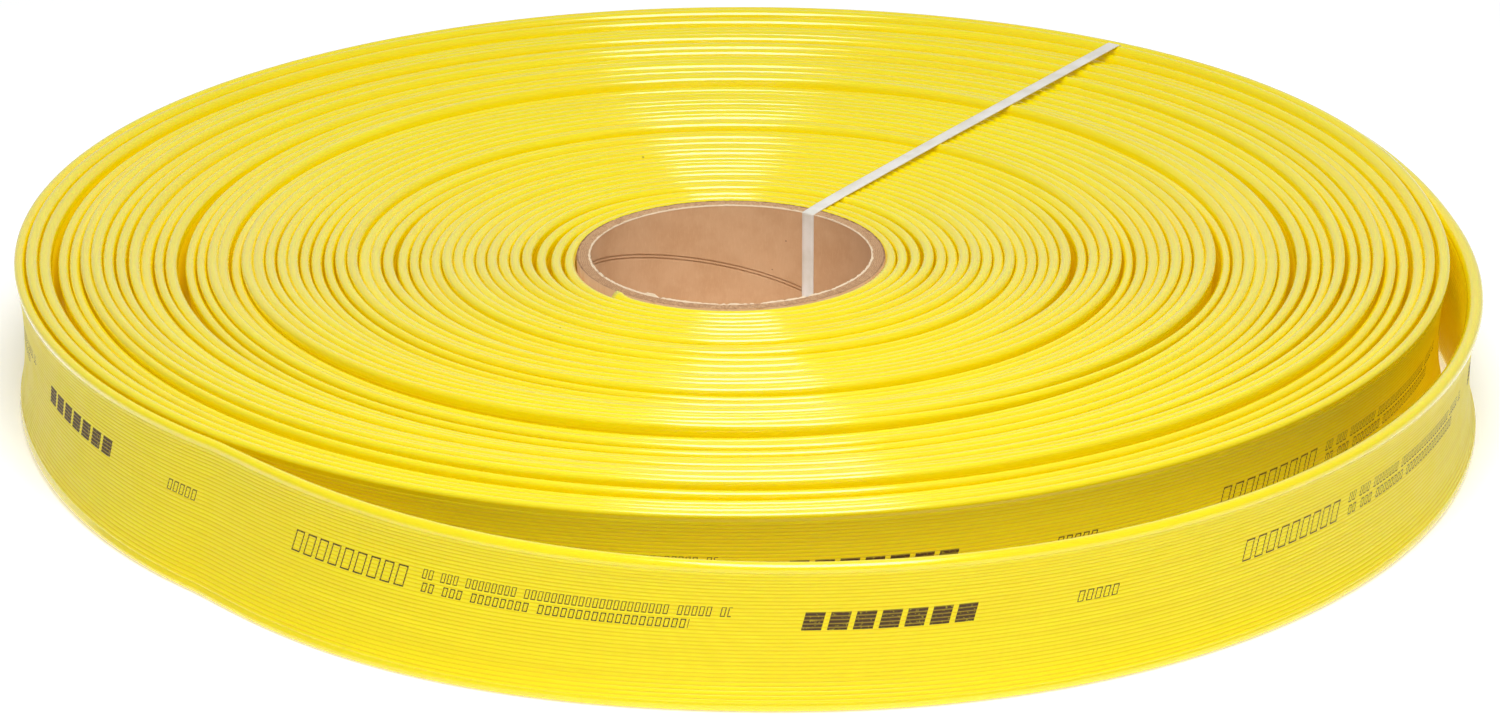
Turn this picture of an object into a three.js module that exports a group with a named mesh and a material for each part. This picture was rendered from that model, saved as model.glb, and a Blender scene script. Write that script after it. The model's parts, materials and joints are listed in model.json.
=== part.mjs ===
// Lay-flat fire hose rolled on a cardboard core and held by one strap.
// Millimetres, +Z up. The roll lies flat, with its core upright. The origin is on the floor, under the
// middle of the whole footprint.
import * as THREE from 'three';

// Driving dimensions.
const HOSE_BORE = 63.5;           // nominal bore when the hose is round
const HOSE_WALL = 3.3;
const HOSE_SLIT = 0.5;            // what is left of the bore when the hose lies flat
const CORE_BORE = 203;
const CORE_WALL = 9.5;
const TURN_PITCH = 8.1;           // radial step from the first turn to the second
const PITCH_GROWTH = 0.0133;      // each turn is wound a little looser than the one inside it
const TURNS = 46;                 // turns in the strapped roll
const STEPS_PER_TURN = 24;        // straight facets in one turn
const START_STEP = 15.2;          // the inner end's direction, in facets counter-clockwise from +X
const DRIFT_X = 4;                // how far the outer turns sit to the +X and +Y side of the core's axis
const DRIFT_Y = 25;
const ROLL_LIFT = 7;              // how far the outer turns ride above the floor
const FLAT_TURNS = 16;            // inner turns that stand on the floor
const LOOSE_AREAS = [             // where the outer turns lie loosest: extra radius and directions from +X
  { reach: 10.5, degrees: [5, 95], skew: 0.85 },
  { reach: 4.5, degrees: [115, 205], skew: 1 },
];
const LOOSE_TURNS = [34, 45];     // the turns over which they loosen
const LOOP_BULGE = 73.5;          // how far the loose outer turn stands off the roll at most
const LOOP_DEGREES = [14, 170];   // where it stands off, in degrees past the end of the strapped roll
const LOOP_SKEW = 0.69;           // below 1, it leaves the roll more steeply than it returns
const LEAN = 22;                  // how far the lower edge stands outside the upper one at most
const LEAN_DEGREES = [-50, 62];   // where it leans, in degrees past the end of the strapped roll
const LEAN_SKEW = 1.57;           // above 1, it leans over gradually and comes upright steeply
const LINKS = 6;                  // rigid lengths that stand for the flexible loose turn
const LINK_STEPS = 2;             // facet angles that one link covers
const LINK_GAP = 1;
const CLEARANCE = 0.3;            // gap between pieces that touch
const STRAP_WIDTH = 10;
const STRAP_THICKNESS = 0.8;
const STRAP_ANGLE = 56;           // degrees counter-clockwise from +X
const STRAP_WELD = 60;            // length of the welded overlap

// Sizes worked out from the driving dimensions.
const TAU = 2 * Math.PI;
const FLAT_WIDTH = Math.PI * (HOSE_BORE + HOSE_WALL) / 2;
const FLAT_THICKNESS = 2 * HOSE_WALL + HOSE_SLIT;
const STEP = TAU / STEPS_PER_TURN;
const CORE_RADIUS = CORE_BORE / 2 + CORE_WALL;
const ROLL_STEPS = STEPS_PER_TURN * TURNS - 1;
const ROLL_END = ROLL_STEPS * STEP;
const START_ANGLE = START_STEP * STEP;
const FIRST_RADIUS = (CORE_RADIUS + CLEARANCE) / Math.cos(STEP / 2) + FLAT_THICKNESS / 2;
const STRAP_RELIEF = STRAP_THICKNESS + 2 * CLEARANCE;

const COLOURS = { hose: 0xe9d936, core: 0xb98f66, strap: 0xebe6da };

function material(colour, roughness) {
  return new THREE.MeshStandardMaterial({ color: colour, roughness, metalness: 0 });
}

// 0 below `from`, 1 above `to`, and a smooth rise between them.
function rise(value, from, to) {
  return THREE.MathUtils.smoothstep(value, from, to);
}

// How high the hose's lower edge is, `wound` radians from the inner end.
function lowerEdge(wound) {
  const turn = wound / TAU;
  const dish = ROLL_LIFT * (Math.max(turn - FLAT_TURNS, 0) / (TURNS - FLAT_TURNS)) ** 2;
  const settled = dish * (1 - rise(turn, TURNS - 0.45, TURNS - 0.05));
  const fromStrap = Math.cos(START_ANGLE + wound - THREE.MathUtils.degToRad(STRAP_ANGLE));
  const onStrap = wound < ROLL_END ? rise(fromStrap, 0.55, 0.85) : 0;
  return Math.max(settled, STRAP_RELIEF * onStrap);
}

// A smooth hump from 0 to 1 and back to 0, as an angle passes from one end of a range to the other.
function hump(angle, [from, to], skew) {
  const share = (THREE.MathUtils.radToDeg(angle) - from) / (to - from);
  return share > 0 && share < 1 ? Math.sin(Math.PI * share ** skew) ** 2 : 0;
}

// How far the hose stands outside its even spiral.
function standOff(wound) {
  const direction = (START_ANGLE + wound) % TAU;
  const loosened = rise(wound / TAU, ...LOOSE_TURNS);
  let reach = LOOP_BULGE * hump(wound - ROLL_END, LOOP_DEGREES, LOOP_SKEW);
  for (const area of LOOSE_AREAS) reach += area.reach * loosened * hump(direction, area.degrees, area.skew);
  return reach;
}

// The middle of the hose's upper edge seen from above, `wound` radians from the inner end.
function hoseCentre(wound) {
  const turn = wound / TAU;
  const angle = START_ANGLE + wound;
  const radius = FIRST_RADIUS + TURN_PITCH * turn + PITCH_GROWTH * turn ** 2 + standOff(wound);
  const drift = Math.min(turn / TURNS, 1) ** 2;
  const x = radius * Math.cos(angle) + DRIFT_X * drift;
  const y = radius * Math.sin(angle) + DRIFT_Y * drift;
  return new THREE.Vector2(x, y);
}

// A closed solid through rings of points that all run the same way round, with both ends capped.
// A ring is an outline, or an outline and a second one inside it that makes the solid a tube. Each wall
// between two rings is split from its lower corner on the first to its upper corner on the second, so
// that facing walls stay parallel where the rings twist.
function loft(outlines, inlines) {
  const positions = [];
  const indices = [];
  const perRing = outlines[0].length;
  const addRings = rings => {
    const first = positions.length / 3;
    rings.forEach(ring => ring.forEach(point => positions.push(...point.toArray())));
    return first;
  };
  const addWalls = (first, count, size, flip) => {
    for (let ring = 0; ring < count - 1; ring++) {
      for (let side = 0; side < size; side++) {
        const a = first + ring * size + side;
        const b = first + ring * size + (side + 1) % size;
        const climbs = positions[3 * b + 2] > positions[3 * a + 2];
        const [p, q, r, s] = climbs ? [a, a + size, b + size, b] : [b, a, a + size, b + size];
        indices.push(...(flip ? [p, r, q, p, s, r] : [p, q, r, p, r, s]));
      }
    }
  };
  const outer = addRings(outlines);
  addWalls(outer, outlines.length, perRing, false);
  const inner = inlines ? addRings(inlines) : 0;
  if (inlines) addWalls(inner, inlines.length, perRing, true);
  const lastRing = (outlines.length - 1) * perRing;
  for (let side = 0; side < perRing; side++) {
    const next = (side + 1) % perRing;
    if (inlines) {
      indices.push(outer + side, outer + next, inner + side);
      indices.push(outer + next, inner + next, inner + side);
      indices.push(outer + lastRing + side, inner + lastRing + side, outer + lastRing + next);
      indices.push(outer + lastRing + next, inner + lastRing + side, inner + lastRing + next);
    } else if (side > 0 && side < perRing - 1) {
      indices.push(outer, outer + side, outer + next);
      indices.push(outer + lastRing, outer + lastRing + next, outer + lastRing + side);
    }
  }
  const geometry = new THREE.BufferGeometry();
  geometry.setAttribute('position', new THREE.Float32BufferAttribute(positions, 3));
  geometry.setIndex(indices);
  geometry.computeVertexNormals();
  return geometry;
}

// One ring across the hose. `profile` holds points as [outwards, up] from the middle of the lower edge.
function hoseRing(wound, profile) {
  const centre = hoseCentre(wound);
  const angle = START_ANGLE + wound;
  const base = lowerEdge(wound);
  const lean = LEAN * hump(wound - ROLL_END, LEAN_DEGREES, LEAN_SKEW);
  return profile.map(([outwards, up]) => {
    const reach = outwards + lean * (1 - up / FLAT_WIDTH);
    const x = centre.x + reach * Math.cos(angle);
    const y = centre.y + reach * Math.sin(angle);
    return new THREE.Vector3(x, y, base + up);
  });
}

// The flat hose's section as a plain bar.
function barProfile() {
  const half = FLAT_THICKNESS / 2;
  return [[-half, 0], [half, 0], [half, FLAT_WIDTH], [-half, FLAT_WIDTH]];
}

// The section with folded edges: flat lips, softened corners.
function foldedProfile(inset) {
  const half = FLAT_THICKNESS / 2 - inset;
  const lip = half * 0.55;
  const corner = Math.max(half * 0.45, CLEARANCE / 4);
  const low = inset;
  const high = FLAT_WIDTH - inset;
  return [
    [-lip, low], [lip, low], [half, low + corner], [half, high - corner],
    [lip, high], [-lip, high], [-half, high - corner], [-half, low + corner],
  ];
}

function hoseRoll() {
  const rings = [];
  for (let step = 0; step < ROLL_STEPS; step++) rings.push(hoseRing(step * STEP, barProfile()));
  rings.push(hoseRing(ROLL_END - turnedBy(LINK_GAP / 2, ROLL_END), barProfile()));
  return loft(rings);
}

// The winding angle that a length along the hose covers.
function turnedBy(length, wound) {
  return length / hoseCentre(wound).length();
}

// One link of the loose turn: an open-ended length of flattened tube.
function looseLink(index) {
  const facets = LINK_STEPS * 3;
  const first = ROLL_END + index * LINK_STEPS * STEP;
  const last = first + LINK_STEPS * STEP;
  const from = first + turnedBy(LINK_GAP / 2, first);
  const to = last - turnedBy(LINK_GAP / 2, last);
  const outside = [];
  const inside = [];
  for (let facet = 0; facet <= facets; facet++) {
    const wound = THREE.MathUtils.lerp(from, to, facet / facets);
    outside.push(hoseRing(wound, foldedProfile(0)));
    inside.push(hoseRing(wound, foldedProfile(HOSE_WALL)));
  }
  return loft(outside, inside);
}

function core() {
  const inner = CORE_BORE / 2;
  const chamfer = 1;
  const low = STRAP_RELIEF;
  const high = low + FLAT_WIDTH;
  const profile = [
    [inner, low], [CORE_RADIUS, low], [CORE_RADIUS, high - chamfer], [CORE_RADIUS - chamfer, high],
    [inner + chamfer, high], [inner, high - chamfer], [inner, low],
  ].map(([x, y]) => new THREE.Vector2(x, y));
  const geometry = new THREE.LatheGeometry(profile, 3 * STEPS_PER_TURN);
  return geometry.rotateX(Math.PI / 2);
}

// The strap is one closed band in the upright plane through the core's axis, with a welded overlap
// on its outer run.
function strap() {
  const angle = THREE.MathUtils.degToRad(STRAP_ANGLE);
  const lastPass = ROLL_END - (ROLL_END + START_ANGLE - angle) % TAU;
  const bore = CORE_BORE / 2 - 2 * CLEARANCE;
  const rim = hoseCentre(lastPass).length() + FLAT_THICKNESS / 2 + CLEARANCE;
  const floor = STRAP_THICKNESS + CLEARANCE / 2;
  const coreTop = STRAP_RELIEF + FLAT_WIDTH + CLEARANCE;
  const rimTop = lowerEdge(lastPass) + FLAT_WIDTH + CLEARANCE;
  const t = STRAP_THICKNESS;
  const weldLow = (rimTop - STRAP_WELD) / 2;
  const weldHigh = weldLow + STRAP_WELD;
  const outline = new THREE.Shape([
    [bore - t, floor - t], [rim + t, floor - t], [rim + t, weldLow], [rim + 2 * t, weldLow],
    [rim + 2 * t, weldHigh], [rim + t, weldHigh], [rim + t, rimTop + t], [bore - t, coreTop + t],
  ].map(([x, y]) => new THREE.Vector2(x, y)));
  const opening = [[bore, floor], [bore, coreTop], [rim, rimTop], [rim, floor]];
  outline.holes.push(new THREE.Path(opening.map(([x, y]) => new THREE.Vector2(x, y))));
  const geometry = new THREE.ExtrudeGeometry(outline, { depth: STRAP_WIDTH, bevelEnabled: false });
  return geometry.translate(0, 0, -STRAP_WIDTH / 2).rotateX(Math.PI / 2).rotateZ(angle);
}

function piece(name, geometry, surface) {
  const mesh = new THREE.Mesh(geometry, surface);
  mesh.name = name;
  return mesh;
}

const roll = new THREE.Group();
roll.add(piece('cardboard_core', core(), material(COLOURS.core, 0.9)));
roll.add(piece('hose_roll', hoseRoll(), material(COLOURS.hose, 0.45)));
roll.add(piece('strap', strap(), material(COLOURS.strap, 0.5)));
for (let index = 0; index < LINKS; index++) {
  roll.add(piece(`loose_turn_${index + 1}`, looseLink(index), material(COLOURS.hose, 0.45)));
}

const footprint = new THREE.Box3().setFromObject(roll).getCenter(new THREE.Vector3());
roll.position.set(-footprint.x, -footprint.y, 0);

const assembly = new THREE.Group();
assembly.add(roll);
assembly.updateMatrixWorld(true);

export default assembly;
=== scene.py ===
"""The looks of a lay-flat fire hose rolled on a cardboard core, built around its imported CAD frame.

Metres, +Z up, the roll lying flat on the floor, the loose side of its outer turn towards -Y.
"""
import json
import math

import bpy
import numpy as np
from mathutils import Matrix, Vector


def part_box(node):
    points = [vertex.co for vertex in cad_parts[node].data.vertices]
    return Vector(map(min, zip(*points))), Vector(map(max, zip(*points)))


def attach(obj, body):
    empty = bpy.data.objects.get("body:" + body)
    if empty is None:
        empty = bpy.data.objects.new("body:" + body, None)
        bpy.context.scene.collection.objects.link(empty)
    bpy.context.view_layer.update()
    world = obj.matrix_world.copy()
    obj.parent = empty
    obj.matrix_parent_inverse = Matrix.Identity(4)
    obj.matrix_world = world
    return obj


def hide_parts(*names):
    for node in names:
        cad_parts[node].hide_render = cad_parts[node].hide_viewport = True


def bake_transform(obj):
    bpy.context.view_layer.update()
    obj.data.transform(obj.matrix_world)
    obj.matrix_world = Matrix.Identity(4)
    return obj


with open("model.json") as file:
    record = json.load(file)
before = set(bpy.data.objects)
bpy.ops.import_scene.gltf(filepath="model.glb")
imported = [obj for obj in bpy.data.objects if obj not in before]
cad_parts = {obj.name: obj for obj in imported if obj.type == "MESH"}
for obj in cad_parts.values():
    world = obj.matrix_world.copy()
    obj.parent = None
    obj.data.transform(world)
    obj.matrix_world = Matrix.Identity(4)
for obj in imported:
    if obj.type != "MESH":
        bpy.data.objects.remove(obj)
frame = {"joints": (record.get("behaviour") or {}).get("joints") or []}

MM = 0.001
TAU = 2 * math.pi

# The frame.
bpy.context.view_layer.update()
core_low, core_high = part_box("cardboard_core")
link_low, link_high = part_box("loose_turn_2")
hinges = [Vector(joint["pos_m"]) for joint in frame["joints"]]
core_axis = (core_low + core_high) / 2
CORE_RADIUS = (core_high.x - core_low.x) / 2
CORE_WALL = 9.5 * MM
PLIES = 7                                 # plies that show across the core's end
PLY_RELIEF = 0.3 * MM
CORE_SEED = 7                             # for the frayed lip
TEAR_ANGLE = math.radians(236)
CORE_TOP = core_high.z
WIDTH = link_high.z - link_low.z          # the flat hose's width, which stands upright

# The winding seam in the core's bore, in mm and degrees, for a tube 105 mm high.
SEAM_TUBE = 105
SEAM_HEIGHT = 44                          # where it crosses SEAM_DIRECTION
SEAM_DIRECTION = 59
SEAM_CLIMB = 0.42                         # mm per degree
SEAM_REPEAT = 151                         # one turn's climb
SEAM_HALF = 1.2                           # from its middle to each of its edges
SEAM_DEPTH = 1.2

# How the hose is wound, as in the CAD model: one spiral, anticlockwise seen from above.
TURNS = 46
STEP = TAU / 24                           # the angle of one CAD facet
START_ANGLE = 15.2 * STEP
INNER_END = -math.radians(4)              # winding angle of the hose's inner end
ROLL_END = (24 * TURNS - 1) * STEP        # winding angle where the loose turn starts
LINK_ANGLE = 2 * STEP                     # each hinged length of the loose turn spans two facets
LOOSE_END = ROLL_END + len(hinges) * LINK_ANGLE
THICKNESS = 7.1 * MM
FIRST_RADIUS = (CORE_RADIUS + 0.3 * MM) / math.cos(STEP / 2) + THICKNESS / 2
PITCH = 8.1 * MM
PITCH_GROWTH = 0.0133 * MM
DRIFT = np.array([4, 25]) * MM
LOOSE_AREAS = [(10.5 * MM, (5, 95), 0.85), (4.5 * MM, (115, 205), 1)]
LOOSE_TURNS = (34, 45)                    # the turns over which the roll loosens in those directions
BULGE = 73.5 * MM
BULGE_DEGREES = (14, 170)                 # where the loose turn stands off, past the end of the roll
BULGE_SKEW = 0.69
LEAN = 22 * MM
LEAN_DEGREES = (-50, 62)                  # where its lower edge stands outside the upper one
LEAN_SKEW = 1.57
STRAP_ANGLE = math.radians(56)
STRAP_WIDTH = 10 * MM
STRAP_THICKNESS = 0.8 * MM
STRAP_RELIEF = core_low.z                 # the strap's lower run lies under the roll
RIDGE_HEIGHT = 0.12 * MM                  # of the weld's pressed ridges
RIDGE_PITCH = 5                           # in mm
# The band's section with its thin edges, as shares of half its width and of half its thickness.
BAND_SECTION = [
    (-1, 0.6), (-0.97, 1), (-0.5, 1), (0, 1), (0.5, 1), (0.97, 1), (1, 0.6),
    (1, -0.6), (0.97, -1), (0.5, -1), (0, -1), (-0.5, -1), (-0.97, -1), (-1, -0.6),
]

# The hose's section.
FOLD_RADIUS = 3.9 * MM                    # the rounded folds are thicker than the flat between them
LOOSE_FOLD_RADIUS = 5.8 * MM              # and swell where the loose turn stands free
FLAT_HALF = 3.35 * MM
RIB_MARGIN = 6.5 * MM                     # the folds carry no ribs
RIBS = 34
RIB_PITCH = (WIDTH - 2 * RIB_MARGIN) / RIBS
RIB_DEPTH = 0.45 * MM
RIBBED_TURNS = 1.35                       # ribs are modelled on the outer turns, which show their faces
INNER_SPACING = math.radians(2.2)         # angles between the rings of points of each stretch of hose
OUTER_SPACING = math.radians(1.6)
LOOSE_SPACING = math.radians(1.25)
HUG_TURNS = 4.5                           # the first turns step up where they pass over the inner end
WAIST = 5.5 * MM                          # the thick folds hold the outer turns' middles in
FOOT = 2 * MM                             # and at the two sides their lower edges are drawn in
SLIT_HALF = 0.35 * MM                     # what is left of the bore, where a cut end shows it
SLIT_MARGIN = 4.2 * MM
CUT_DEPTH = 25 * MM                       # how deep that slit is modelled
KICK = 1.4 * MM                           # how far the hose's inner end stands up
RIM_LEAN = 3.5 * MM                       # and leans over the core's rim

# The printed marks: how far apart they repeat, and where one repeat starts, in degrees past the roll's end.
MARKS_REPEAT = 0.694
MARKS_START = 61.1
MARKS_LEAD = 15 * MM                      # how far the first bar reaches back past that start
MARKS_SWITCH = -60                        # up to here the marks are shifted along the hose
MARKS_SHIFT = 191 * MM
MARKS_SLANT = 0.25
BOX_SHARE = 0.7                           # how much of its spacing a box takes up
# One row of bars: where it starts and ends along the repeat in m, its lower and upper edges in mm, the
# bars' spacing in m and the share of it that is ink.
BARS = (0, 0.1182, 56, 69, 0.0169, 0.78)
# Rows of boxes, the same way, but ending with their stroke in mm and the share of them that is printed,
# which is above 1 where all of them are.
BOX_ROWS = [
    (0.187, 0.2188, 58, 66, 0.0064, 0.8, 1.1),
    (0.322, 0.4236, 56, 71, 0.0113, 1.0, 1.1),
    (0.432, 0.646, 65, 72, 0.0047, 0.7, 0.85),
    (0.434, 0.62, 56, 62.5, 0.0053, 0.8, 0.88),
]

# Seeds of the hose's unevenness, in height, distance from the core and thickness.
HEIGHT_SEED = 5
RADIUS_SEED = 8
PLUMP_SEED = 21

# Slack between turns: (turn, direction in degrees, opening in mm, turns drawn tight inside it).
OPENINGS = [
    (42.5, 186, 4.2, 4), (32.8, 187, 4.6, 5), (28.7, 184, 2.2, 5), (14.8, 181, 2.4, 6),
    (42.0, 330, 1.6, 4), (33.0, 10, 4.4, 6), (27.4, 2, 2.4, 5), (15.2, 0, 2.6, 6),
]
# How high the turns' lower edges stand, in mm, by turn, where the roll faces -Y and +Y: towards the outside
# groups of turns climb and then drop at the front, and sink and then climb at the back.
FRONT_EDGES = [
    (0, 1.6), (7.6, 3.6), (8.1, 0.2), (10.7, 7.0), (11.3, 0.2), (19.7, 6.4), (20.3, 0.2), (28.1, 10.0),
    (28.7, 0.3), (31.8, 5.0), (32.4, 0.5), (40.7, 10.5), (41.3, 1.0), (44.6, 3.0), (45.6, 4.0),
]
BACK_EDGES = [
    (0, 1.6), (17.9, 0.3), (18.4, 4.6), (29.0, 0.4), (29.5, 5.6), (33.2, 0.8), (33.7, 5.4), (36.2, 1.0),
    (36.7, 6.4), (39.2, 1.4), (39.7, 6.0), (43.2, 2.0), (43.7, 8.6), (45.6, 8.2),
]


# ---------------------------------------------------------------- the winding

def smooth(value, low, high):
    """0 below low, 1 above high, and a smooth rise between them."""
    share = np.clip((value - low) / (high - low), 0, 1)
    return share * share * (3 - 2 * share)


def slack(wound):
    """How far the hose is drawn inwards, which leaves the crescent openings outside the tight turns."""
    drawn = np.zeros_like(wound)
    for turn, degrees, opening, span in OPENINGS:
        direction = math.radians(degrees) - START_ANGLE
        crossing = direction + TAU * round(turn - direction / TAU)
        passes = np.round((wound - crossing) / TAU)
        off = wound - crossing - passes * TAU
        window = np.cos(np.clip(off * 1.25, -math.pi / 2, math.pi / 2)) ** 2
        tight = np.where((passes <= 0) & (passes > -span), 1 + passes / span, 0)
        drawn += opening * MM * window * tight
    return drawn


def hug(turn):
    """How far the first turns are drawn in, so that they lie round the core and step up at its inner end."""
    snug = 0.7 * MM
    fading = 1 - smooth(turn, 0.6, HUG_TURNS)
    share = np.mod(turn, 1)
    step = share * (1 - smooth(share, 0.84, 1.0))
    return fading * (PITCH * step + snug)


def uneven(wound, knots_per_turn, seed):
    """Smooth repeatable unevenness along the hose, from -1 to 1, which differs from turn to turn."""
    place = (wound / TAU + 1) * knots_per_turn
    knots = np.random.default_rng(seed).uniform(-1, 1, int((TURNS + 4) * knots_per_turn))
    index = np.floor(place).astype(int)
    share = smooth(place - index, 0, 1)
    return knots[index] * (1 - share) + knots[index + 1] * share


def hump(angle, degrees, skew=1.0):
    """A smooth hump from 0 to 1 and back, as an angle passes from one end of a range to the other."""
    low, high = degrees
    share = np.clip((np.degrees(angle) - low) / (high - low), 0, 1)
    return np.sin(math.pi * share ** skew) ** 2


def stand_off(wound):
    """How far the hose stands outside its even spiral."""
    direction = (START_ANGLE + wound) % TAU
    loosened = smooth(wound / TAU, *LOOSE_TURNS)
    areas = sum(reach * hump(direction, degrees, skew) for reach, degrees, skew in LOOSE_AREAS)
    return BULGE * hump(wound - ROLL_END, BULGE_DEGREES, BULGE_SKEW) + loosened * areas


def edge_height(wound):
    """How high the lower edge stands above the floor. The outer turn settles on to the floor."""
    on_floor = 0.1 * MM
    wander = 1.5 * MM
    turn = wound / TAU
    front = np.interp(turn, *zip(*FRONT_EDGES)) * MM
    back = np.interp(turn, *zip(*BACK_EDGES)) * MM
    north = (1 + np.sin(START_ANGLE + wound)) / 2
    loosely = smooth(turn, 1, 4)
    raised = front * (1 - north) + back * north + loosely * wander * uneven(wound, 3, HEIGHT_SEED)
    settled = smooth(turn, TURNS - 0.3, TURNS + 0.08)
    over_strap = smooth(np.cos(START_ANGLE + wound - STRAP_ANGLE), 0.93, 0.985) * (wound < ROLL_END)
    lowest = on_floor + (STRAP_RELIEF - on_floor) * over_strap
    return np.maximum(raised, lowest) * (1 - settled) + lowest * settled


def centre_line(wound):
    """The middle of the hose's upper edge seen from above."""
    turn = wound / TAU
    angle = START_ANGLE + wound
    radius = FIRST_RADIUS + PITCH * turn + PITCH_GROWTH * turn ** 2 - hug(turn)
    radius = radius + stand_off(wound) - slack(wound)
    loosely = smooth(turn, 3, 20) * (1 - smooth(turn, TURNS - 0.8, TURNS - 0.2))
    wander = 0.55 * MM
    radius = radius + loosely * wander * uneven(wound, 2.3, RADIUS_SEED)
    drift = np.multiply.outer(np.minimum(turn / TURNS, 1) ** 2, DRIFT)
    return np.stack([radius * np.cos(angle), radius * np.sin(angle)], axis=-1) + drift + core_axis.xy


def tangents(wound):
    """Which way the hose runs, as flat unit vectors."""
    ahead = centre_line(wound + 1e-4) - centre_line(wound - 1e-4)
    return ahead / np.linalg.norm(ahead, axis=-1, keepdims=True)


def length_at(wound):
    """Length of hose from its inner end, in metres."""
    fine = np.arange(0, LOOSE_END + STEP, STEP / 8)
    steps = np.linalg.norm(np.diff(centre_line(fine), axis=0), axis=1)
    return np.interp(wound, fine, np.concatenate([[0], np.cumsum(steps)]))


# ---------------------------------------------------------------- the hose's section

def rib_stations():
    """(distance from the fold, depth) across one face's ribs: soft crests and narrow grooves."""
    across = [(0, 1), (0.1, 0.5), (0.22, 0.14), (0.42, 0), (0.58, 0), (0.78, 0.14), (0.9, 0.5)]
    stations = [((rib + share) * RIB_PITCH, depth) for rib in range(RIBS) for share, depth in across]
    stations.append((RIBS * RIB_PITCH, 1))
    return [(RIB_MARGIN + place, depth * RIB_DEPTH) for place, depth in stations]


def half_thickness(height, fold_radius):
    """Half the flat hose's thickness at a height: round folds, thinner between them."""
    thinned_by = 22 * MM
    from_edge = np.minimum(height, WIDTH - height)
    rounded = np.clip(1 - from_edge / fold_radius, 0, 1)
    fold = fold_radius * np.sqrt(1 - rounded ** 2)
    return fold - (fold_radius - FLAT_HALF) * smooth(from_edge, fold_radius, thinned_by)


def fold_profile(ribbed, fold_radius):
    """Heights and depths from the lower fold up one face to the upper fold."""
    fold = [(fold_radius * (1 - math.cos(turn)), 0) for turn in np.linspace(0, math.pi / 2, 8)]
    if ribbed:
        face = rib_stations()
    else:
        lower_half = [(place * MM, 0) for place in (6.4, 8, 12, 17, 24, 38, 52.5)]
        face = lower_half + [(WIDTH - place, 0) for place, _ in reversed(lower_half[:-1])]
    rise = fold + face + [(WIDTH - place, 0) for place, _ in reversed(fold)]
    return np.array(rise).T


def section(ribbed, fold_radius=FOLD_RADIUS):
    """The closed outline of the flat hose, as (outwards, height, distance around from the lower fold)."""
    heights, depths = fold_profile(ribbed, fold_radius)
    half = half_thickness(heights, fold_radius) - depths
    outwards = np.concatenate([half, -half[-2:0:-1]])
    up = np.concatenate([heights, heights[-2:0:-1]])
    around = np.concatenate([heights, 2 * WIDTH - heights[-2:0:-1]])
    return outwards, up, around


def slit_section(ribbed):
    """The outline of what is left of the bore, point for point with section()."""
    outwards, up, around = section(ribbed)
    return np.sign(outwards) * SLIT_HALF, np.clip(up, SLIT_MARGIN, WIDTH - SLIT_MARGIN), around


def swelling(wound):
    """How far the folds have swelled, from 0 in the tight roll to 1 where the loose turn stands free."""
    beyond = np.degrees(wound - ROLL_END)
    return smooth(beyond, 8, 50) * (1 - smooth(beyond, 135, 172))


def sweep(wound, outline, swelled=None):
    """Points of an outline swept along the hose, ring by ring, and their place along and around it. The
    folds swell towards the second outline where the hose is loose."""
    outwards, up, around = [value[None, :] for value in outline]
    if swelled is not None:
        share = swelling(wound)[:, None]
        outwards = outwards + share * (swelled[0] - outwards)
        up = up + share * (swelled[1] - up)
    centre = centre_line(wound)
    ahead = tangents(wound)
    normal = np.stack([ahead[:, 1], -ahead[:, 0]], axis=-1)
    kick, over_rim = inner_end(wound)
    leaning = smooth(up, CORE_TOP - 9 * MM, CORE_TOP + 2 * MM)
    varied = smooth(wound / TAU, 2, 20) * (wound < ROLL_END - 2)
    plump = 1 + 0.13 * uneven(wound, 2.7, PLUMP_SEED) * varied
    offset = plump[:, None] * outwards + stance(wound, up) - over_rim[:, None] * leaning
    points = np.empty((len(wound), outwards.shape[1], 3))
    points[:, :, :2] = centre[:, None, :] + offset[:, :, None] * normal[:, None, :]
    points[:, :, 2] = up + (edge_height(wound) + kick)[:, None]
    along = np.repeat(length_at(wound)[:, None], outwards.shape[1], axis=1)
    place = np.stack([along, np.repeat(around, len(wound), axis=0)], axis=-1)
    return points, place


def stance(wound, up):
    """How far the hose's middle and lower edge stand outside its upper edge."""
    above = up / WIDTH
    waist = WAIST * (1 - np.abs(2 * above - 1) ** 2.2)
    outer = np.clip(wound / ROLL_END, 0, 1)
    lean = LEAN * hump(wound - ROLL_END, LEAN_DEGREES, LEAN_SKEW)
    foot = lean - FOOT * outer * np.cos(START_ANGLE + wound) ** 2
    return foot[:, None] * (1 - above) - outer[:, None] * waist


def inner_end(wound):
    """The hose's inner end kicks up a little and leans over the core's rim."""
    reach = 9 * MM
    near = np.exp(-((wound - INNER_END) * FIRST_RADIUS / reach) ** 2)
    return KICK * near, RIM_LEAN * near


# ---------------------------------------------------------------- mesh helpers

def grid_faces(rings, size, joined=False):
    """Quads between rings of points. Each ring is closed; joined closes the last ring to the first."""
    ring = np.arange(rings if joined else rings - 1)[:, None]
    side = np.arange(size)[None, :]
    following = (ring + 1) % rings
    a = ring * size + side
    b = ring * size + (side + 1) % size
    c = following * size + (side + 1) % size
    d = following * size + side
    return np.stack(np.broadcast_arrays(a, d, c, b), axis=-1).reshape(-1, 4)


def ring_normals(points):
    """Smooth normals of a swept grid, so that pieces cut from it shade as one."""
    along = np.gradient(points, axis=0)
    around = np.roll(points, -1, axis=1) - np.roll(points, 1, axis=1)
    normals = np.cross(along, around)
    return normals / np.maximum(np.linalg.norm(normals, axis=-1, keepdims=True), 1e-12)


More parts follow.
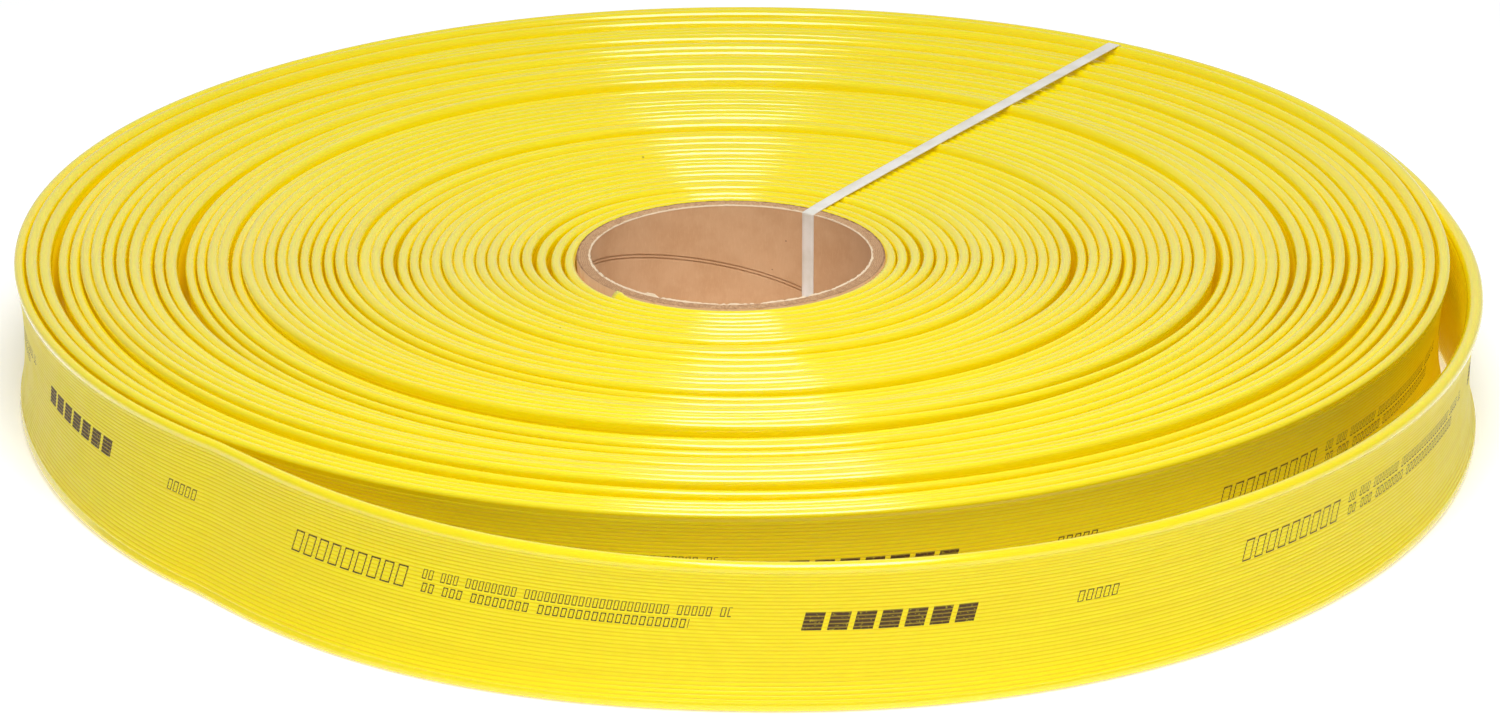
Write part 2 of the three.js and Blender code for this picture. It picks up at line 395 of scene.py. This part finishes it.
def mesh_object(name, points, faces, material, places=None):
    """A smooth-shaded mesh in the scene. The places, if given, are its points' texture coordinates."""
    mesh = bpy.data.meshes.new(name)
    mesh.from_pydata(points.reshape(-1, 3).tolist(), [], [tuple(face) for face in faces])
    mesh.materials.append(material)
    mesh.polygons.foreach_set("use_smooth", [True] * len(mesh.polygons))
    if places is not None:
        corners = np.zeros(len(mesh.loops), np.int32)
        mesh.loops.foreach_get("vertex_index", corners)
        layer = mesh.uv_layers.new(name="hose")
        layer.data.foreach_set("uv", places.reshape(-1, 2)[corners].astype(np.float32).ravel())
    mesh.update()
    piece = bpy.data.objects.new(name, mesh)
    bpy.context.scene.collection.objects.link(piece)
    return piece


def hose_piece(name, first, last, spacing, ribbed, ends=()):
    """A stretch of the hose between two winding angles. An end named in ends is cut open: its two walls
    show, with the slit between them."""
    count = max(int(round((last - first) / spacing)), 2) + 1
    wound = np.linspace(first, last, count)
    outer = section(ribbed)
    swelled = section(ribbed, LOOSE_FOLD_RADIUS)
    depth = CUT_DEPTH / np.linalg.norm(centre_line(wound[-1]) - core_axis.xy)
    strips = [sweep(wound, outer, swelled)]
    if "first" in ends:
        strips.insert(0, sweep(np.array([first + depth, first]), slit_section(ribbed)))
    if "last" in ends:
        strips.append(sweep(np.array([last, last - depth]), slit_section(ribbed)))
    points, places = [np.concatenate(parts) for parts in zip(*strips)]
    rings, size = points.shape[:2]
    faces = grid_faces(rings, size).tolist()
    if "first" in ends:
        faces.append(list(range(size)))
    if "last" in ends:
        faces.append([(rings - 1) * size + side for side in reversed(range(size))])
    piece = mesh_object(name, points, faces, HOSE, places)
    if not ends:
        overrun = np.concatenate([[first - spacing], wound, [last + spacing]])
        normals = ring_normals(sweep(overrun, outer, swelled)[0])[1:-1]
        piece.data.normals_split_custom_set_from_vertices(normals.reshape(-1, 3).tolist())
    return piece


# ---------------------------------------------------------------- materials

class Nodes:
    """Short ways to write a material's node tree."""

    def __init__(self, name):
        self.material = bpy.data.materials.new(name)
        self.material.use_nodes = True
        self.tree = self.material.node_tree
        self.shader = self.tree.nodes["Principled BSDF"]

    def add(self, kind, inputs=None, **settings):
        node = self.tree.nodes.new("ShaderNode" + kind)
        for key, value in settings.items():
            setattr(node, key, value)
        for key, value in (inputs or {}).items():
            self.feed(node.inputs[key], value)
        return node

    def feed(self, socket, value):
        if isinstance(value, bpy.types.NodeSocket):
            self.tree.links.new(value, socket)
        else:
            socket.default_value = value

    def maths(self, operation, *values):
        return self.add("Math", dict(enumerate(values)), operation=operation).outputs[0]

    def mix(self, share, first, second):
        node = self.add("Mix", data_type="RGBA")
        self.feed(node.inputs["Factor"], share)
        self.feed(node.inputs["A"], first)
        self.feed(node.inputs["B"], second)
        return node.outputs["Result"]

    def noise(self, place, scale, detail=3.0, roughness=0.55):
        inputs = {"Vector": place, "Scale": scale, "Detail": detail, "Roughness": roughness}
        return self.add("TexNoise", inputs).outputs["Fac"]

    def ramp(self, value, low, high, start=0.0, end=1.0):
        inputs = {"Value": value, "From Min": low, "From Max": high, "To Min": start, "To Max": end}
        return self.add("MapRange", inputs, interpolation_type="SMOOTHSTEP").outputs["Result"]

    def between(self, value, low, high):
        """1 where low < value < high, otherwise 0."""
        above = self.maths("GREATER_THAN", value, low)
        return self.maths("MULTIPLY", above, self.maths("LESS_THAN", value, high))

    def bump(self, height, distance, strength):
        inputs = {"Height": height, "Distance": distance, "Strength": strength}
        return self.add("Bump", inputs).outputs["Normal"]

    def set(self, **inputs):
        for key, value in inputs.items():
            self.feed(self.shader.inputs[key.replace("_", " ")], value)


def rgb(red, green, blue):
    """A colour given as it looks on screen, 0 to 255, as the linear values Blender takes."""
    def linear(part):
        share = part / 255
        return share / 12.92 if share <= 0.04045 else ((share + 0.055) / 1.055) ** 2.4
    return (linear(red), linear(green), linear(blue), 1.0)


def marks(nodes, along, height):
    """Printed marks with no lettering: slanted bars and rows of open boxes. One repeat starts at the front
    of the loose turn. The turns inside it carry the marks a little further along."""
    start, switch = length_at(ROLL_END + np.radians([MARKS_START, MARKS_SWITCH])).tolist()
    slanted = nodes.maths("MULTIPLY_ADD", height, -MARKS_SLANT, along)
    on_loose_side = nodes.maths("GREATER_THAN", along, switch)
    from_start = nodes.maths("SUBTRACT", slanted, start + MARKS_SHIFT - MARKS_LEAD)
    shifted = nodes.maths("MULTIPLY_ADD", on_loose_side, MARKS_SHIFT, from_start)
    place = nodes.maths("FLOORED_MODULO", shifted, MARKS_REPEAT)

    def area(low, high, bottom, top):
        wide = nodes.between(place, low, high)
        return nodes.maths("MULTIPLY", wide, nodes.between(height, bottom * MM, top * MM))

    def cells(start, spacing):
        return nodes.maths("DIVIDE", nodes.maths("SUBTRACT", place, start), spacing)

    def within(cell, low, high):
        return nodes.between(nodes.maths("FRACT", cell), low, high)

    def most(cell, share):
        value = nodes.add("TexWhiteNoise", {"W": nodes.maths("FLOOR", cell)}, noise_dimensions="1D")
        return nodes.maths("LESS_THAN", value.outputs["Value"], share)

    def bars(low, high, bottom, top, spacing, share):
        return nodes.maths("MULTIPLY", area(low, high, bottom, top), within(cells(low, spacing), 0, share))

    def boxes(low, high, bottom, top, spacing, stroke, kept):
        cell = cells(low, spacing)
        edge = stroke * MM / spacing
        outside = nodes.maths("MULTIPLY", bars(low, high, bottom, top, spacing, BOX_SHARE), most(cell, kept))
        middle = nodes.maths("MULTIPLY", within(cell, edge, BOX_SHARE - edge),
                             nodes.between(height, (bottom + stroke) * MM, (top - stroke) * MM))
        return nodes.maths("SUBTRACT", outside, nodes.maths("MINIMUM", middle, outside))

    ink = bars(*BARS)
    for row in BOX_ROWS:
        ink = nodes.maths("MAXIMUM", ink, boxes(*row))
    return ink


def cover_colour(nodes, world, along, around, groove):
    """Yellow that varies in long streaks and soft clouds, with painted shade in the grooves, and with specks
    and scuffs.
    """
    cloud = nodes.noise(world, 7.0, 3.0)
    streaks = nodes.add("CombineXYZ", {
        "X": nodes.maths("MULTIPLY", along, 3.0), "Y": nodes.maths("MULTIPLY", around, 160)})
    streak = nodes.noise(streaks.outputs["Vector"], 1.0, 4.0)
    body = nodes.mix(nodes.ramp(streak, 0.3, 0.75), rgb(240, 224, 4), rgb(236, 216, 6))
    body = nodes.mix(nodes.ramp(cloud, 0.4, 0.75, 0, 0.4), body, rgb(241, 217, 1))
    # painted shade: the rib grooves are tinted darker orange, as if in shadow between the ribs
    colour = nodes.mix(nodes.maths("MULTIPLY", groove, 0.35), body, rgb(222, 172, 2))

    specks = nodes.add("TexVoronoi", {"Vector": world, "Scale": 26.0}, feature="F1").outputs["Distance"]
    dirt = nodes.maths("MULTIPLY", nodes.ramp(specks, 0.03, 0.018), nodes.ramp(cloud, 0.55, 0.6))
    colour = nodes.mix(nodes.maths("MULTIPLY", dirt, 0.6), colour, rgb(96, 66, 20))
    scuff = nodes.ramp(nodes.noise(world, 38.0, 5.0, 0.7), 0.68, 0.82)
    colour = nodes.mix(nodes.maths("MULTIPLY", scuff, 0.1), colour, rgb(176, 148, 60))
    return colour, streak


def groove_share(nodes, height, on_fold):
    """1 in the middle of a groove between two ribs, and 0 on the ribs and the folds."""
    rib = nodes.maths("DIVIDE", nodes.maths("SUBTRACT", height, RIB_MARGIN), RIB_PITCH)
    phase = nodes.maths("FRACT", rib)
    off_groove = nodes.maths("MINIMUM", phase, nodes.maths("SUBTRACT", 1.0, phase))
    groove = nodes.maths("SUBTRACT", nodes.ramp(off_groove, 0.24, 0.04), on_fold)
    return nodes.maths("MAXIMUM", groove, 0.0)


def worn_ink(nodes, world, along, around, groove):
    """Where ink is: the marks, worn thin in patches and in the grooves."""
    worn = nodes.ramp(nodes.noise(world, 420.0, 3.0, 0.7), 0.3, 0.45, 0.6, 1.0)
    cover = nodes.maths("MULTIPLY", worn, nodes.maths("MULTIPLY_ADD", groove, -0.35, 1.0))
    return nodes.maths("MULTIPLY", marks(nodes, along, around), cover)


def fold_gloss(nodes, along, on_fold):
    """The normal of the folds' glossy coat, which carries a fine crosswise ripple."""
    ripple_pitch = 1.5 * MM
    ripple = nodes.maths("SINE", nodes.maths("MULTIPLY", along, TAU / ripple_pitch))
    ripple = nodes.maths("MULTIPLY", ripple, nodes.maths("MULTIPLY_ADD", on_fold, 0.9, 0.1))
    return nodes.bump(ripple, 0.03 * MM, 0.14)


def hose_material():
    """Yellow cover: rib grooves darkened with painted shade, ink marks, and a glossy coat on the folds. A
    painted warm glow lights the places hidden from the lamps, in place of light that soaks through the
    walls."""
    nodes = Nodes("hose_cover")
    uv = nodes.add("UVMap", uv_map="hose").outputs["UV"]
    parts = nodes.add("SeparateXYZ", {"Vector": uv})
    along, around = parts.outputs["X"], parts.outputs["Y"]
    world = nodes.add("TexCoord").outputs["Object"]
    height = nodes.maths("PINGPONG", around, WIDTH)
    from_fold = nodes.maths("MINIMUM", height, nodes.maths("SUBTRACT", WIDTH, height))
    on_fold = nodes.ramp(from_fold, 8.5 * MM, 6.0 * MM)
    groove = groove_share(nodes, height, on_fold)
    ink = worn_ink(nodes, world, along, around, groove)
    colour, streak = cover_colour(nodes, world, along, around, groove)

    roughness = nodes.ramp(nodes.noise(world, 60.0, 4.0), 0.3, 0.7, 0.16, 0.26)
    roughness = nodes.maths("ADD", roughness, nodes.ramp(on_fold, 1.0, 0.0, 0, 0.2))
    roughness = nodes.maths("MAXIMUM", roughness, nodes.maths("MULTIPLY", ink, 0.6))
    hidden = nodes.add("AmbientOcclusion", {"Distance": 45 * MM}, samples=4).outputs["AO"]
    nodes.set(
        Base_Color=nodes.mix(ink, colour, rgb(72, 46, 18)), Roughness=roughness,
        Normal=nodes.bump(streak, 0.05 * MM, 0.3), Specular_IOR_Level=0.4,
        Coat_Weight=nodes.maths("MULTIPLY", on_fold, 0.9), Coat_Roughness=0.05,
        Coat_Normal=fold_gloss(nodes, along, on_fold),
        Subsurface_Weight=0.3, Subsurface_Radius=(1.0, 0.62, 0.08), Subsurface_Scale=3.5 * MM,
        # painted light: a warm emission that rises where the ambient occlusion finds the hose hidden from
        # the lamps
        Emission_Color=rgb(222, 180, 1), Emission_Strength=nodes.ramp(hidden, 0.75, 0.35, 0, 0.15),
    )
    return nodes.material


def paper_colour(nodes, world, fibre):
    """Mottled kraft paper with pale fibres and dark spots."""
    mottle = nodes.noise(world, 40.0, 5.0, 0.6)
    colour = nodes.mix(nodes.ramp(mottle, 0.3, 0.7), rgb(200, 156, 114), rgb(209, 167, 126))
    colour = nodes.mix(nodes.ramp(fibre, 0.45, 0.8, 0, 0.25), colour, rgb(226, 190, 150))
    spots = nodes.add("TexVoronoi", {"Vector": world, "Scale": 75.0}, feature="F1").outputs["Distance"]
    spot = nodes.maths("MULTIPLY", nodes.ramp(spots, 0.06, 0.03), nodes.ramp(mottle, 0.5, 0.56))
    return nodes.mix(nodes.maths("MULTIPLY", spot, 0.7), colour, rgb(110, 70, 42))


def ply_colour(nodes, world, fibre):
    """The plies of the tube's end, between a dark outer edge and a pale frayed lip."""
    centred = nodes.add("Mapping", {"Vector": world, "Location": (-core_axis.x, -core_axis.y, 0)})
    flat = nodes.add("Mapping", {"Vector": centred.outputs["Vector"], "Scale": (1, 1, 0)})
    reach = nodes.add("VectorMath", {0: flat.outputs["Vector"]}, operation="LENGTH").outputs["Value"]
    depth = nodes.maths("DIVIDE", nodes.maths("SUBTRACT", CORE_RADIUS, reach), CORE_WALL)
    uneven_depth = nodes.maths("MULTIPLY_ADD", nodes.noise(world, 160.0, 3.0), 0.3, depth)
    ply = nodes.maths("FRACT", nodes.maths("MULTIPLY", uneven_depth, PLIES))
    colour = nodes.mix(nodes.ramp(fibre, 0.3, 0.7), rgb(178, 138, 100), rgb(206, 170, 132))
    colour = nodes.mix(nodes.ramp(ply, 0.6, 0.9, 0, 0.55), colour, rgb(138, 96, 66))
    colour = nodes.mix(nodes.ramp(uneven_depth, 0.98, 1.12), colour, rgb(232, 212, 182))
    return nodes.mix(nodes.ramp(uneven_depth, 0.3, 0.12), colour, rgb(120, 82, 56))


def board_material(name, colour_of):
    """Dull brown core board with a fibrous surface, coloured by the function given."""
    nodes = Nodes(name)
    world = nodes.add("TexCoord").outputs["Object"]
    fibre_place = nodes.add("Mapping", {"Vector": world, "Scale": (900, 900, 180)}).outputs["Vector"]
    fibre = nodes.noise(fibre_place, 1.0, 3.0, 0.7)
    nodes.set(
        Base_Color=colour_of(nodes, world, fibre), Roughness=0.88, Specular_IOR_Level=0.25,
        Normal=nodes.bump(fibre, 0.25 * MM, 0.6),
    )
    return nodes.material


def strap_material():
    """Off-white strapping, a little see-through, with a fine diamond emboss."""
    nodes = Nodes("strap_plastic")
    uv = nodes.add("UVMap", uv_map="hose").outputs["UV"]
    parts = nodes.add("SeparateXYZ", {"Vector": uv})
    along, across = parts.outputs["X"], parts.outputs["Y"]
    diamond_size = 1.6 * MM
    waves = []
    for operation in ("ADD", "SUBTRACT"):
        slanting = nodes.maths(operation, along, across)
        waves.append(nodes.maths("SINE", nodes.maths("MULTIPLY", slanting, TAU / diamond_size)))
    emboss = nodes.maths("MULTIPLY", *waves)
    world = nodes.add("TexCoord").outputs["Object"]
    cloud = nodes.noise(world, 45.0, 3.0)
    colour = nodes.mix(nodes.ramp(cloud, 0.35, 0.7), rgb(240, 236, 228), rgb(226, 221, 208))
    nodes.set(
        Base_Color=colour, Roughness=nodes.ramp(cloud, 0.3, 0.7, 0.34, 0.5), Transmission_Weight=0.12,
        Normal=nodes.bump(emboss, 0.06 * MM, 0.6), Specular_IOR_Level=0.5,
    )
    return nodes.material


HOSE = hose_material()
BOARD = board_material("core_board", paper_colour)
BOARD_END = board_material("core_plies", ply_colour)
STRAP = strap_material()


# ---------------------------------------------------------------- the hose

def build_hose():
    """The strapped roll in two pieces, and the loose turn cut at its hinges."""
    ribbed_from = ROLL_END - RIBBED_TURNS * TAU
    inner = hose_piece("hose_inner_turns", INNER_END, ribbed_from, INNER_SPACING, False, ends=("first",))
    outer = hose_piece("hose_outer_turns", ribbed_from, ROLL_END, OUTER_SPACING, True)
    for piece in (inner, outer):
        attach(piece, "roll")
    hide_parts("hose_roll")
    floor_line = np.zeros((3, 1))
    for index, joint in enumerate(frame["joints"]):
        number = index + 1
        first = ROLL_END + index * LINK_ANGLE
        last = first + LINK_ANGLE
        ends = ("last",) if number == len(hinges) else ()
        piece = hose_piece("hose_loose_turn_%d" % number, first, last, LOOSE_SPACING, True, ends)
        middle = sweep(np.array([(first + last) / 2]), floor_line)[0][0, 0]
        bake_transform(piece)
        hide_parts("loose_turn_%d" % number)


# ---------------------------------------------------------------- the core

def core_outline():
    """The closed outline of the tube's wall, as (radius, share of the height), and what each point is on."""
    bore = CORE_RADIUS - CORE_WALL
    runs = {
        "outside": [(CORE_RADIUS, level) for level in np.linspace(0, 1, 4)[:-1]],
        "top": [(CORE_RADIUS - CORE_WALL * share, 1.0) for share in np.linspace(0, 1, 6 * PLIES + 1)],
        "bore": [(bore, level) for level in np.linspace(1, 0, 211)[1:]],
        "bottom": [(bore + CORE_WALL * share, 0.0) for share in np.linspace(0, 1, 13)[1:-1]],
    }
    kinds = np.repeat(list(runs), [len(run) for run in runs.values()])
    return np.array(sum(runs.values(), [])), kinds


def near_direction(angle, direction, low, high):
    """1 at a direction and 0 a few degrees off it. The cosines of that angle set where it rises."""
    return smooth(math.cos(angle - direction), low, high)


def seam_share(angle, height):
    """1 on the two edges of the board's winding seam, which climbs round the bore. The height is in mm."""
    crossing = (SEAM_HEIGHT + SEAM_CLIMB * (math.degrees(angle) - SEAM_DIRECTION)) % SEAM_REPEAT
    return 1 - smooth(np.abs(np.abs(height - crossing) - SEAM_HALF), 0.25, 0.6)


def build_core():
    """A wound board tube: plies show at its ends, the lip is frayed, and a seam climbs round its bore. The
    lip is pressed flat under the strap and torn up at one place."""
    outline, kinds = core_outline()
    radius, level = outline[:, 0], outline[:, 1]
    on_top = kinds == "top"
    on_bore = np.isclose(radius, CORE_RADIUS - CORE_WALL)
    depth = (CORE_RADIUS - radius) / CORE_WALL
    lip = smooth(depth, 0.86, 1.0)

    rng = np.random.default_rng(CORE_SEED)
    around = np.linspace(0, TAU, 720, endpoint=False)
    fray = smooth_noise(rng, len(around), 3) + 0.6 * smooth_noise(rng, len(around), 9)
    points = np.empty((len(around), len(outline), 3))
    for index, angle in enumerate(around):
        pressed = near_direction(angle, STRAP_ANGLE, 0.9965, 0.9992)
        torn = near_direction(angle, TEAR_ANGLE, 0.9985, 0.9999)
        ply = PLY_RELIEF * np.cos(TAU * (depth * PLIES + 0.35 * fray[index]))
        raised = on_top * (ply + lip * (0.35 + 0.55 * fray[index]) * MM)
        raised = raised - on_top * lip * 0.9 * MM * pressed + on_top * lip * 1.3 * MM * torn
        shrink = lip * smooth(level, 0.985, 1.0) * (0.25 + 0.35 * fray[index]) * MM * (1 - pressed)
        seam = seam_share(angle, level * SEAM_TUBE)
        swell = on_bore * (seam * SEAM_DEPTH + 0.12 * math.sin(3 * angle)) * MM
        reach = radius - shrink + swell
        points[index, :, 0] = core_axis.x + reach * math.cos(angle)
        points[index, :, 1] = core_axis.y + reach * math.sin(angle)
        points[index, :, 2] = core_low.z + (level * (CORE_TOP - core_low.z) + raised)
    faces = grid_faces(len(around), len(outline), joined=True)
    piece = mesh_object("core_tube", points, faces.tolist(), BOARD)
    piece.data.materials.append(BOARD_END)
    on_end = (kinds == "top") | (kinds == "bottom")
    piece.data.polygons.foreach_set("material_index", np.tile(on_end, len(around)).astype(np.int32))
    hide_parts("cardboard_core")
    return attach(piece, "roll")


def smooth_noise(rng, count, span):
    """Repeatable noise from -1 to 1 round a ring, smoothed over span samples."""
    values = rng.uniform(-1, 1, count)
    total = sum(np.roll(values, shift) for shift in range(span)) / span
    return total / np.abs(total).max()


# ---------------------------------------------------------------- the strap

def convex_outline(points):
    """The convex outline of flat points, anticlockwise."""
    def turn(a, b, c):
        return (b[0] - a[0]) * (c[1] - a[1]) - (b[1] - a[1]) * (c[0] - a[0])

    def half(ordered):
        chain = []
        for point in ordered:
            while len(chain) > 1 and turn(chain[-2], chain[-1], point) <= 0:
                chain.pop()
            chain.append(point)
        return chain[:-1]

    ordered = sorted(map(tuple, points))
    return np.array(half(ordered) + half(ordered[::-1]))


def strap_path():
    """Where the taut strap runs, as (distance from the core's axis, height): round the core's wall and all
    the turns that it crosses."""
    direction = np.array([math.cos(STRAP_ANGLE), math.sin(STRAP_ANGLE)])
    crossings = STRAP_ANGLE - START_ANGLE + TAU * np.arange(1, TURNS)
    crossings = crossings[crossings < ROLL_END]
    off = centre_line(crossings) - np.array(core_axis.xy)
    crossings = crossings + STRAP_ANGLE - np.arctan2(off[:, 1], off[:, 0])
    points, _ = sweep(crossings, section(False))
    reach = (points[:, :, :2] - np.array(core_axis.xy)) @ direction
    crossed = np.stack([reach, points[:, :, 2]], -1).reshape(-1, 2)
    bore = CORE_RADIUS - CORE_WALL
    lip_pressed_to = CORE_TOP - 0.6 * MM
    outline = convex_outline(np.concatenate([crossed, [(bore, core_low.z), (bore, lip_pressed_to)]]))
    clear = 0.15 * MM
    return rounded_loop(outline, STRAP_THICKNESS / 2 + clear)


def rounded_loop(outline, gap):
    """The outline moved outwards by gap, with round corners and evenly spaced points, and how far along
    the loop each point is."""
    loop = []
    count = len(outline)
    for index in range(count):
        before, here, after = outline[index - 1], outline[index], outline[(index + 1) % count]
        into = math.atan2(*(here - before)[::-1])
        out = math.atan2(*(after - here)[::-1])
        bend = (out - into) % TAU
        for share in np.linspace(0, 1, max(2, int(bend / 0.3) + 1)):
            facing = into + bend * share - math.pi / 2
            loop.append(here + gap * np.array([math.cos(facing), math.sin(facing)]))
    loop = np.array(loop + loop[:1])
    lengths = np.concatenate([[0], np.cumsum(np.linalg.norm(np.diff(loop, axis=0), axis=1))])
    spread = np.unique(np.concatenate([lengths, np.arange(0, lengths[-1], 2.5 * MM)]))
    keep = np.concatenate([np.diff(spread) > 0.05 * MM, [False]])
    spread = spread[keep]
    return np.stack([np.interp(spread, lengths, loop[:, axis]) for axis in (0, 1)], -1), spread


def weld_thickening(path):
    """How much thicker the band is along its path, at the welded overlap and the pressed ridges on it. Both
    are on the outer run, at mid height."""
    furthest = path[:, 0].max()
    outer_run = smooth(path[:, 0], furthest - 4 * MM, furthest - 1 * MM)
    off_middle = np.abs(path[:, 1] - CORE_TOP / 2)
    lapped = outer_run * (1 - smooth(off_middle, 29.5 * MM, 30.2 * MM))
    pressed = outer_run * (1 - smooth(off_middle, 11 * MM, 12 * MM))
    ridges = RIDGE_HEIGHT * pressed * np.cos(path[:, 1] / MM * TAU / RIDGE_PITCH)
    return lapped * STRAP_THICKNESS * 0.95 + ridges


def build_strap():
    """One thin band, with the welded overlap of its ends on the outer run."""
    path, along = strap_path()
    ahead = np.roll(path, -1, axis=0) - np.roll(path, 1, axis=0)
    ahead /= np.linalg.norm(ahead, axis=1, keepdims=True)
    facing = np.stack([ahead[:, 1], -ahead[:, 0]], -1)
    thickening = weld_thickening(path)
    direction = Vector((math.cos(STRAP_ANGLE), math.sin(STRAP_ANGLE)))
    sideways = Vector((-direction.y, direction.x))
    points = np.empty((len(path), len(BAND_SECTION), 3))
    places = np.empty((len(path), len(BAND_SECTION), 2))
    for index, (share, level) in enumerate(BAND_SECTION):
        thick = np.full(len(path), level * STRAP_THICKNESS / 2)
        if level > 0:
            thick += thickening
        flat = path + facing * thick[:, None]
        edge = share * STRAP_WIDTH / 2
        points[:, index, 0] = core_axis.x + flat[:, 0] * direction.x + edge * sideways.x
        points[:, index, 1] = core_axis.y + flat[:, 0] * direction.y + edge * sideways.y
        points[:, index, 2] = flat[:, 1]
        places[:, index, 0] = along
        places[:, index, 1] = edge
    faces = grid_faces(len(path), len(BAND_SECTION), joined=True)
    piece = mesh_object("strap_band", points, faces.tolist(), STRAP, places)
    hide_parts("strap")
    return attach(piece, "roll")


# ---------------------------------------------------------------- the studio

def build_floor():
    """A plain white floor, which glows a little so that it stays white behind the roll."""
    nodes = Nodes("studio_floor")
    nodes.set(Base_Color=rgb(232, 232, 232), Roughness=0.9, Specular_IOR_Level=0.1)
    nodes.set(Emission_Color=rgb(255, 255, 255), Emission_Strength=0.36)
    points = np.array([(-7, -7, 0), (7, -7, 0), (7, 9, 0), (-7, 9, 0)], float)
    floor = mesh_object("studio_floor", points, [(0, 1, 2, 3)], nodes.material)


def area_light(name, place, aim, size, power):
    """A white rectangular lamp that faces a point."""
    data = bpy.data.lights.new(name, "AREA")
    data.shape = "RECTANGLE"
    data.size, data.size_y = size
    data.energy = power
    light = bpy.data.objects.new(name, data)
    light.location = place
    light.rotation_euler = (Vector(aim) - Vector(place)).to_track_quat("-Z", "Y").to_euler()
    bpy.context.scene.collection.objects.link(light)


def build_lights():
    """Dim light all round, brighter from behind the roll, and a tall softbox above its near side that puts
    a pale line along each fold."""
    world = bpy.data.worlds.new("studio")
    world.use_nodes = True
    nodes = world.node_tree.nodes
    links = world.node_tree.links
    direction = nodes.new("ShaderNodeTexCoord")
    parts = nodes.new("ShaderNodeSeparateXYZ")
    links.new(direction.outputs["Generated"], parts.inputs["Vector"])
    strength = nodes.new("ShaderNodeMapRange")
    strength.interpolation_type = "SMOOTHSTEP"
    for key, value in (("From Min", 0.2), ("From Max", 0.9), ("To Min", 0.32), ("To Max", 0.62)):
        strength.inputs[key].default_value = value
    links.new(parts.outputs["Y"], strength.inputs["Value"])
    links.new(strength.outputs["Result"], nodes["Background"].inputs["Strength"])
    nodes["Background"].inputs["Color"].default_value = (0.98, 0.99, 1.0, 1)
    bpy.context.scene.world = world
    area_light("key_softbox", (0.15, -1.3, 2.5), (0, 0, 0), (1.4, 2.2), 74)


def build_camera():
    """A long lens in front of the roll, looking down at it. The core's upper end is a little left of the
    picture's middle and above it."""
    elevation = math.radians(20.6)
    distance = 5.0
    right_of_core = 0.0137
    below_core = 0.0771
    long_lens = 166.6
    data = bpy.data.cameras.new("camera")
    data.sensor_width = 36
    data.lens = long_lens
    data.clip_end = 50
    camera = bpy.data.objects.new("camera", data)
    subject = Vector((core_axis.x, core_axis.y, CORE_TOP))
    camera.location = subject + distance * Vector((0, -math.cos(elevation), math.sin(elevation)))
    aim = subject + Vector((right_of_core, 0, 0))
    aim -= below_core * Vector((0, math.sin(elevation), math.cos(elevation)))
    camera.rotation_euler = (aim - camera.location).to_track_quat("-Z", "Y").to_euler()
    bpy.context.scene.collection.objects.link(camera)
    bpy.context.scene.camera = camera


build_hose()
build_core()
build_strap()
build_floor()
build_lights()
build_camera()
bpy.context.scene.view_settings.view_transform = "Standard"
